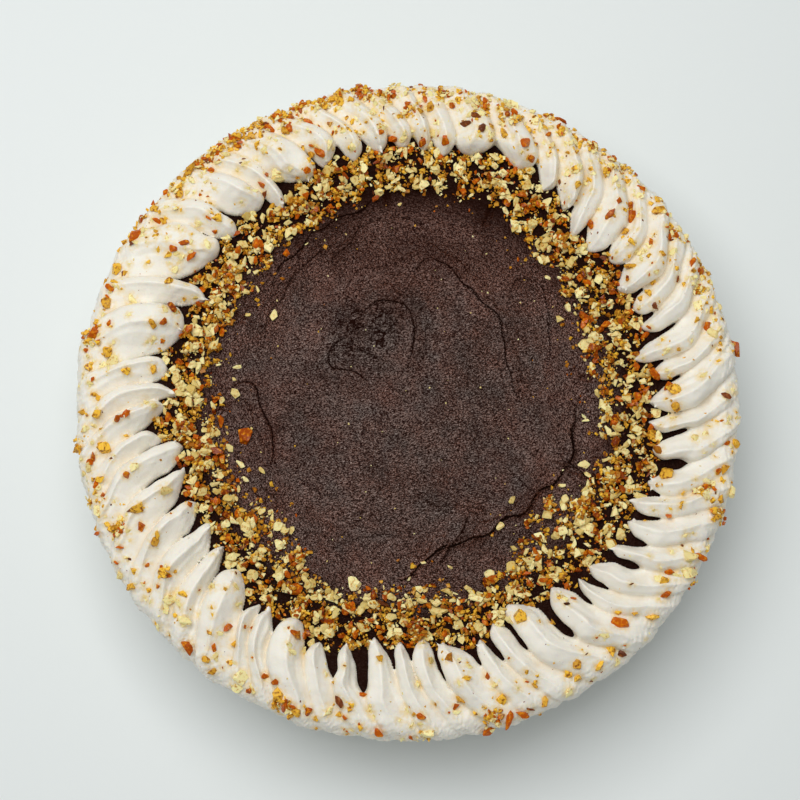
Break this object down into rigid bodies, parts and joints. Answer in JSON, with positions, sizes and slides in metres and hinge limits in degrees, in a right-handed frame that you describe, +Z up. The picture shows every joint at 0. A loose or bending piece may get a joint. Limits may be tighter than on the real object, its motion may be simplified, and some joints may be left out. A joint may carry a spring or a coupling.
{
  "type": "chocolate pear cake",
  "caption": "Whole round cake coated in whipped cream, glazed with dark chocolate inside a piped border of slanted cream ridges, strewn with chopped roasted nuts.",
  "frame": {"origin": "middle of the flat base, where the cake stands", "axes": "+Z up; +Y points away from the viewer of the picture, so +X is to the right in it"},
  "size_m": [0.2694, 0.2706, 0.0735],
  "materials": {
    "whipped_cream": "soft satin, faintly translucent, with fine air pores",
    "chocolate_glaze": "satin, finely grained, with spatula strokes",
    "nut_kernel": "matte, pale broken faces",
    "nut_caramel": "glossy amber caramel over chopped nuts"
  },
  "bodies": {
    "root": {"coated_cake": "whipped_cream", "chocolate_glaze": "chocolate_glaze", "cream_ridge_01": "whipped_cream", "cream_ridge_02": "whipped_cream", "cream_ridge_03": "whipped_cream", "cream_ridge_04": "whipped_cream", "cream_ridge_05": "whipped_cream", "cream_ridge_06": "whipped_cream", "cream_ridge_07": "whipped_cream", "cream_ridge_08": "whipped_cream", "cream_ridge_09": "whipped_cream", "cream_ridge_10": "whipped_cream", "cream_ridge_11": "whipped_cream", "cream_ridge_12": "whipped_cream", "cream_ridge_13": "whipped_cream", "cream_ridge_14": "whipped_cream", "cream_ridge_15": "whipped_cream", "cream_ridge_16": "whipped_cream", "cream_ridge_17": "whipped_cream", "cream_ridge_18": "whipped_cream", "cream_ridge_19": "whipped_cream", "cream_ridge_20": "whipped_cream", "cream_ridge_21": "whipped_cream", "cream_ridge_22": "whipped_cream", "cream_ridge_23": "whipped_cream", "cream_ridge_24": "whipped_cream", "cream_ridge_25": "whipped_cream", "cream_ridge_26": "whipped_cream", "cream_ridge_27": "whipped_cream", "cream_ridge_28": "whipped_cream", "cream_ridge_29": "whipped_cream", "cream_ridge_30": "whipped_cream", "cream_ridge_31": "whipped_cream", "cream_ridge_32": "whipped_cream", "cream_ridge_33": "whipped_cream", "cream_ridge_34": "whipped_cream", "cream_ridge_35": "whipped_cream", "cream_ridge_36": "whipped_cream", "cream_ridge_37": "whipped_cream", "cream_ridge_38": "whipped_cream", "cream_ridge_39": "whipped_cream", "cream_ridge_40": "whipped_cream", "cream_ridge_41": "whipped_cream", "cream_ridge_42": "whipped_cream", "cream_ridge_43": "whipped_cream", "cream_ridge_44": "whipped_cream", "cream_ridge_45": "whipped_cream", "cream_ridge_46": "whipped_cream", "cream_ridge_47": "whipped_cream", "cream_ridge_48": "whipped_cream", "cream_ridge_49": "whipped_cream", "cream_ridge_50": "whipped_cream", "cream_ridge_51": "whipped_cream", "cream_ridge_52": "whipped_cream", "cream_ridge_53": "whipped_cream", "cream_ridge_54": "whipped_cream", "cream_ridge_55": "whipped_cream", "cream_ridge_56": "whipped_cream", "cream_ridge_57": "whipped_cream"}
  },
  "joints": []
}
